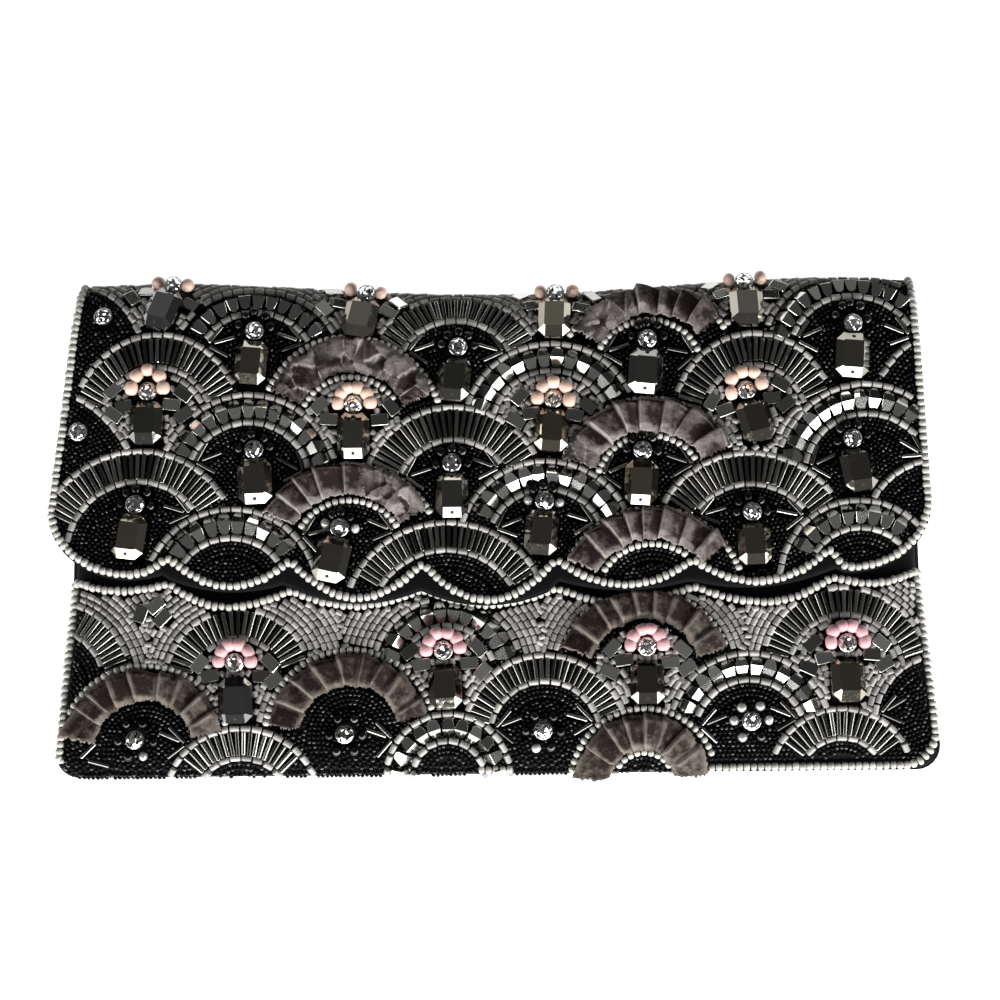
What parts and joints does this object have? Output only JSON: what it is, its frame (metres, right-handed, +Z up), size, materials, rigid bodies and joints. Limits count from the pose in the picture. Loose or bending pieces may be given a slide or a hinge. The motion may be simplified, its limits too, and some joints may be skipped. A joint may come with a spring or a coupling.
{
  "type": "beaded clutch",
  "caption": "Envelope clutch with a fold-over flap, covered in scallop-patterned beads, sewn stones, crystals and pleated velvet ruffles.",
  "frame": {"origin": "centre of the bag's footprint, on the surface it lies on", "axes": "+X across the bag to the right seen from its front, +Y from the bottom edge to the fold, +Z up out of its front"},
  "size_m": [0.2755, 0.1611, 0.0258],
  "materials": {
    "satin": "black satin",
    "paved_beads": "paved black, grey and gunmetal glass beads",
    "ivory_beads": "ivory seed beads, semi-matte",
    "stone": "gunmetal step-cut stones, polished",
    "crystal": "faceted crystal in silver cup",
    "pink_beads": "opaque pink glass beads",
    "velvet": "pleated taupe velvet ribbon",
    "snap_metal": "nickel"
  },
  "bodies": {
    "root": {"back_panel": "satin", "front_panel": "satin", "flap": "satin", "flap_beading": "paved_beads", "front_beading": "paved_beads", "flap_edge_string": "ivory_beads", "pouch_edge_string": "ivory_beads", "stone_a0": "stone", "stone_a2": "stone", "stone_a4": "stone", "stone_a6": "stone", "stone_b1": "stone", "stone_b3": "stone", "stone_b5": "stone", "stone_b7": "stone", "stone_c0": "stone", "stone_c2": "stone", "stone_c4": "stone", "stone_c6": "stone", "stone_d1": "stone", "stone_d3": "stone", "stone_d5": "stone", "stone_d7": "stone", "stone_e0": "stone", "stone_e2": "stone", "stone_e4": "stone", "stone_e6": "stone", "stone_g1": "stone", "stone_g3": "stone", "stone_g5": "stone", "stone_g7": "stone", "crystal_left_upper": "crystal", "crystal_left_lower": "crystal", "crystal_h0": "crystal", "crystal_h2": "crystal", "crystal_h4": "crystal", "crystal_h6": "crystal", "petals_a0": "pink_beads", "petals_a2": "pink_beads", "petals_a4": "pink_beads", "petals_a6": "pink_beads", "petals_c0": "pink_beads", "petals_c2": "pink_beads", "petals_c4": "pink_beads", "petals_c6": "pink_beads", "petals_g1": "pink_beads", "petals_g3": "pink_beads", "petals_g5": "pink_beads", "petals_g7": "pink_beads", "ruffle_b5": "velvet", "ruffle_c2": "velvet", "ruffle_d5": "velvet", "ruffle_e2": "velvet", "ruffle_f5": "velvet", "ruffle_g5": "velvet", "ruffle_h0": "velvet", "ruffle_h2": "velvet", "ruffle_i5": "velvet", "magnet_snap": "snap_metal"}
  },
  "joints": []
}
